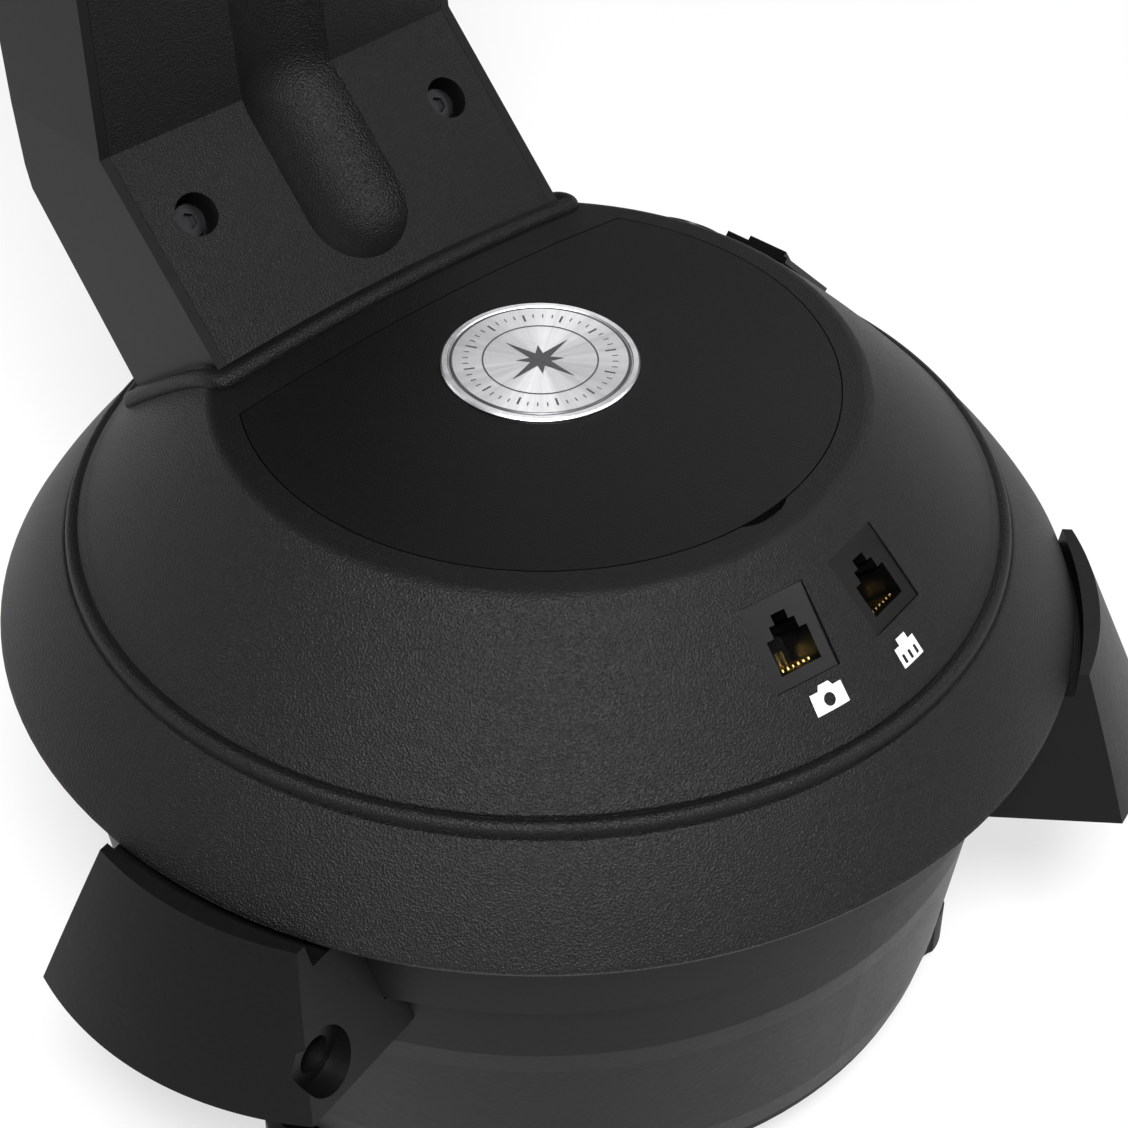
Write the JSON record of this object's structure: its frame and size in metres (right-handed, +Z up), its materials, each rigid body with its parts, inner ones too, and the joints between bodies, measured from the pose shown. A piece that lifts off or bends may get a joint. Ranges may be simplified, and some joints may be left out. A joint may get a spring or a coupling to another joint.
{
  "type": "single-arm computerised telescope mount",
  "caption": "Motorised single-arm telescope mount: a round turning base with battery door and accessory sockets on a tripod head, and an arm carrying a tilting dovetail saddle.",
  "frame": {"origin": "on the azimuth axis, at the flat underside of the tripod head's centre foot", "axes": "+Z up along the azimuth axis, -X towards the arm, +X towards the accessory sockets"},
  "size_m": [0.2606, 0.2486, 0.4135],
  "materials": {
    "grained_black_plastic": "moulded, spark-eroded grain",
    "leather_grain_black_plastic": "moulded, fine leather grain",
    "smooth_black_plastic": "moulded, satin",
    "dark_plastic": "moulded, semi-gloss",
    "cast_black_metal": "powder-coated casting",
    "machined_aluminium": "machined",
    "spun_aluminium": "spun, clear-coated",
    "anodised_black": "anodised, satin",
    "steel": "zinc-plated",
    "black_steel": "black oxide",
    "brass": "gold-plated contact",
    "bronze": "machined",
    "board": "printed circuit board",
    "cell_wrap": "printed sleeve"
  },
  "bodies": {
    "tripod_head": {"tripod_head": "cast_black_metal", "head_lower_plate": "cast_black_metal", "leg_socket_1": "cast_black_metal", "leg_socket_2": "cast_black_metal", "leg_socket_3": "cast_black_metal", "leg_socket_bolts": "black_steel", "base_plate": "machined_aluminium", "azimuth_spindle": "steel", "spindle_washer": "steel", "spindle_nut": "steel", "azimuth_gear": "bronze", "gear_screws": "steel"},
    "mounting_knob_1": {"mounting_knob_1": "dark_plastic"},
    "mounting_knob_2": {"mounting_knob_2": "dark_plastic"},
    "mounting_knob_3": {"mounting_knob_3": "dark_plastic"},
    "turning_base": {"base_shell": "grained_black_plastic", "base_pan": "smooth_black_plastic", "pan_screws": "steel", "azimuth_bush": "bronze", "battery_tray": "dark_plastic", "aa_cells": "cell_wrap", "battery_contacts": "steel", "camera_jack": "dark_plastic", "aux_jack": "dark_plastic", "jack_contacts": "brass", "port_board": "board", "power_socket": "dark_plastic", "power_socket_pin": "steel", "switch_housing": "dark_plastic", "main_board": "board", "board_standoffs": "dark_plastic", "azimuth_gearbox": "dark_plastic", "azimuth_motor": "steel", "arm_inner_cover": "grained_black_plastic", "arm_cover_screws": "black_steel", "arm_outer_cover": "smooth_black_plastic", "altitude_cap": "smooth_black_plastic", "arm_frame": "machined_aluminium", "arm_frame_bolts": "black_steel", "altitude_bearings": "steel", "altitude_gearbox": "dark_plastic", "altitude_motor": "steel"},
    "battery_door": {"battery_door": "leather_grain_black_plastic", "badge": "spun_aluminium"},
    "power_switch": {"power_switch": "dark_plastic"},
    "azimuth_pinion": {"azimuth_pinion": "bronze"},
    "altitude_pinion": {"altitude_pinion": "bronze"},
    "altitude_head": {"altitude_shaft": "machined_aluminium", "altitude_gear": "bronze", "saddle_plate": "anodised_black", "saddle_screws": "black_steel"},
    "dovetail_jaw": {"dovetail_jaw": "anodised_black"},
    "clamp_knob": {"clamp_knob": "dark_plastic"}
  },
  "joints": [
    {"name": "azimuth_turn", "type": "hinge", "parent": "tripod_head", "child": "turning_base", "pos_m": [0, 0, 0.108], "axis": [0, 0, 1], "continuous": true},
    {"name": "altitude_turn", "type": "hinge", "parent": "turning_base", "child": "altitude_head", "pos_m": [-0.1, 0, 0.363], "axis": [1, 0, 0], "range_deg": [-45, 90]},
    {"name": "azimuth_pinion_spin", "type": "hinge", "parent": "turning_base", "child": "azimuth_pinion", "pos_m": [0, 0.05275, 0.108], "axis": [0, 0, 1], "continuous": true},
    {"name": "altitude_pinion_spin", "type": "hinge", "parent": "turning_base", "child": "altitude_pinion", "pos_m": [-0.1248, 0, 0.32525], "axis": [1, 0, 0], "range_deg": [-360.01, 180.01]},
    {"name": "door_lift", "type": "slide", "parent": "turning_base", "child": "battery_door", "axis": [0, 0, 1], "range_m": [0, 0.05]},
    {"name": "switch_rock", "type": "hinge", "parent": "turning_base", "child": "power_switch", "pos_m": [-0.00831, 0.07912, 0.14735], "axis": [-0.9945, -0.1045, 0], "range_deg": [-12, 0]},
    {"name": "jaw_slide", "type": "slide", "parent": "altitude_head", "child": "dovetail_jaw", "axis": [0, 0, 1], "range_m": [0, 0.0018]},
    {"name": "clamp_turn", "type": "hinge", "parent": "altitude_head", "child": "clamp_knob", "pos_m": [-0.0805, 0, 0.363], "axis": [0, 0, 1], "range_deg": [0, 515.6]},
    {"name": "mounting_knob_1_turn", "type": "hinge", "parent": "tripod_head", "child": "mounting_knob_1", "pos_m": [0.06143, 0.05729, 0], "axis": [0, 0, 1], "continuous": true},
    {"name": "mounting_knob_2_turn", "type": "hinge", "parent": "tripod_head", "child": "mounting_knob_2", "pos_m": [0.0189, -0.08185, 0], "axis": [0, 0, 1], "continuous": true},
    {"name": "mounting_knob_3_turn", "type": "hinge", "parent": "tripod_head", "child": "mounting_knob_3", "pos_m": [-0.08033, 0.02456, 0], "axis": [0, 0, 1], "continuous": true}
  ],
  "couplings": [
    {"joint": "azimuth_pinion_spin", "follows": "azimuth_turn", "ratio": 6},
    {"joint": "altitude_pinion_spin", "follows": "altitude_turn", "ratio": -4},
    {"joint": "jaw_slide", "follows": "clamp_turn", "m_per_rad": 0.0002}
  ]
}
